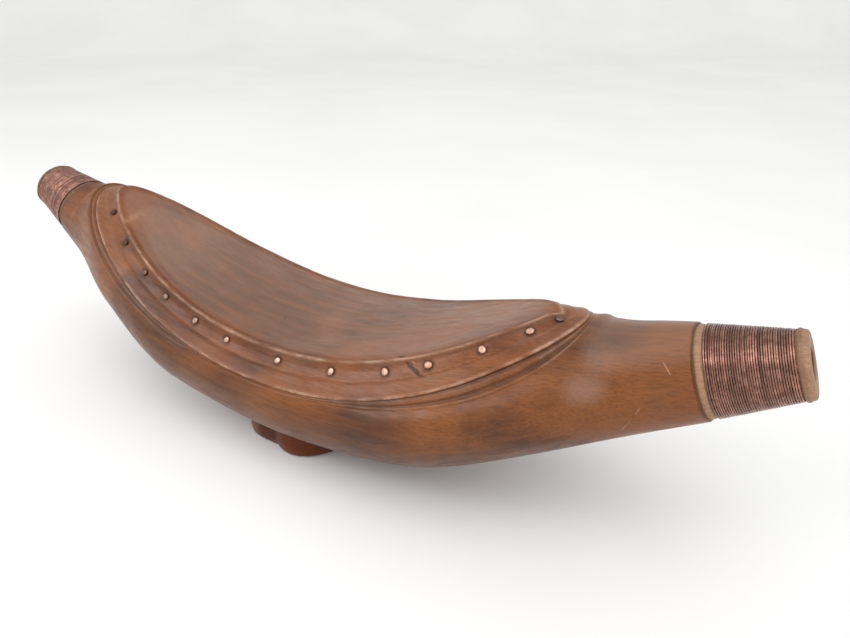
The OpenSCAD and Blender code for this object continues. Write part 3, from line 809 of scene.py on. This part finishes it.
def foot_level(scale, frac, n=360):
    lo = foot_at(scale, 0.0, n); hi = foot_at(1.0, None, n)
    out = lo.copy(); out[:, 2] = hi[:, 2]*frac
    return out


fr = [foot_at(0.3, None, round_=1.0), foot_at(0.7, None), foot_at(0.96, None), foot_at(0.985, None)]
fr[-1][:, 2] -= 0.3
fr += [foot_level(s_, f_) for s_, f_ in ((1.0, 0.86), (1.003, 0.7), (1.004, 0.55), (1.0, 0.4), (0.992, 0.27),
                                         (0.98, 0.17), (0.962, 0.08), (0.94, 0.02))]
fr += [foot_at(0.92, 0.0), foot_at(0.4, 0.0, round_=1.0)]
FV = np.concatenate(fr); n_ = 360
FF = cap_ring([k for k in range(n_)])
for i in range(len(fr) - 1):
    FF += ring_faces([i*n_ + k for k in range(n_)], [(i + 1)*n_ + k for k in range(n_)])
FF += cap_ring([(len(fr) - 1)*n_ + k for k in range(n_)], True)
FF = [f[::-1] for f in FF]
fz = np.zeros(len(FV))
# the foot: painted shade towards its base on the floor, and the left block paler in tone
foot = mesh_piece("foot_carved", FV, FF, FOOT,
                  dict(grain=FV*MM, flat=FV*MM, wear=fz, chip=fz, dirt_and_painted_shade=0.5*np.clip(1 - FV[:, 2]/2.5, 0, 1),
                       pale_tone_and_painted_sheen=0.25*np.clip((-13 - FV[:, 0])/4, 0, 1)))
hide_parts("foot")
# the pegs stay as the CAD made them, hidden in the foot and hull, with a wood material
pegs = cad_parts["foot_pegs"]
pegs.data.materials.clear()
pegs.data.materials.append(wood("peg_wood", (0.2, 0.12, 0.07), (0.4, 0.26, 0.16), (0.5, 0.33, 0.2),
                                use_attr=False, coat=0.0))

# ---------------------------------------------------------------- floor, light and camera
fl = Nodes("pale_floor")
fv = fl.n("ShaderNodeTexCoord").outputs["Object"]
pale = fl.ramp(fl.noise(fv, 3.0, 3, 0.5), [(0.3, (0.815, 0.815, 0.81)), (0.7, (0.85, 0.85, 0.84))])
fl.link(pale, fl.p.inputs["Base Color"])
fl.p.inputs["Roughness"].default_value = 0.9
fl.p.inputs["Specular IOR Level"].default_value = 0.1
fl.link(fl.bump(fl.noise(fl.scale(fv, (900, 900, 900)), 1.0, 2, 0.5), 0.06, 0.0003), fl.p.inputs["Normal"])
me = bpy.data.meshes.new("floor")
back, bend = 2.2, 0.8      # where the floor curves up into the wall, and that curve's radius
prof = [(-3.0, 0.0), (back, 0.0)]
prof += [(back + bend*math.sin(q), bend - bend*math.cos(q)) for q in np.linspace(0.1, math.pi/2, 12)]
prof += [(3.0, 6.0)]
dirv = Vector((-0.55, 0.835, 0)); sidev = Vector((0.835, 0.55, 0))
vs, fs = [], []
for d_, z_ in prof:
    for w_ in (-5, 5):
        vs.append(tuple(dirv*d_ + sidev*w_ + Vector((0, 0, z_))))
for i in range(len(prof) - 1):
    fs.append((2*i, 2*i + 1, 2*i + 3, 2*i + 2))
me.from_pydata(vs, [], fs)
me.polygons.foreach_set("use_smooth", [True]*len(me.polygons))
floor = bpy.data.objects.new("floor", me)
bpy.context.scene.collection.objects.link(floor)
me.materials.append(fl.m)

world = bpy.data.worlds.new("studio")
bpy.context.scene.world = world
world.use_nodes = True
world.node_tree.nodes["Background"].inputs[0].default_value = (1, 1, 1, 1)
world.node_tree.nodes["Background"].inputs[1].default_value = 1.02


def area(name, loc, target, size, power):
    li = bpy.data.lights.new(name, "AREA")
    li.shape = "RECTANGLE"
    li.size, li.size_y = size
    li.energy = power
    ob = bpy.data.objects.new(name, li)
    ob.location = loc
    ob.rotation_euler = (Vector(target) - Vector(loc)).to_track_quat("-Z", "Y").to_euler()
    bpy.context.scene.collection.objects.link(ob)


area("key", (-0.57, -0.69, 0.78), (0.1, 0, 0.05), (0.36, 0.36), 2.3)
area("fill", (0.4, -0.45, 1.4), (0.1, 0, 0.0), (1.2, 1.2), 7.0)

cam = bpy.data.cameras.new("camera")
cam.sensor_width = 36.0
cam.lens = 25.79
cam.clip_start = 0.01
cam.dof.use_dof = False
camo = bpy.data.objects.new("camera", cam)
bpy.context.scene.collection.objects.link(camo)
yaw, pitch, roll = 0.522, 0.486, 0.011
fwd = Vector((-math.sin(yaw)*math.cos(pitch), math.cos(yaw)*math.cos(pitch), -math.sin(pitch)))
rt = Vector((math.cos(yaw), math.sin(yaw), 0))
up = rt.cross(fwd)
rr, uu_ = rt*math.cos(roll) + up*math.sin(roll), up*math.cos(roll) - rt*math.sin(roll)
m = Matrix((rr, uu_, -fwd)).transposed().to_4x4()
m.translation = Vector((0.18458, -0.21305, 0.20588))
camo.matrix_world = m
bpy.context.scene.camera = camo
bpy.context.scene.view_settings.view_transform = "Standard"
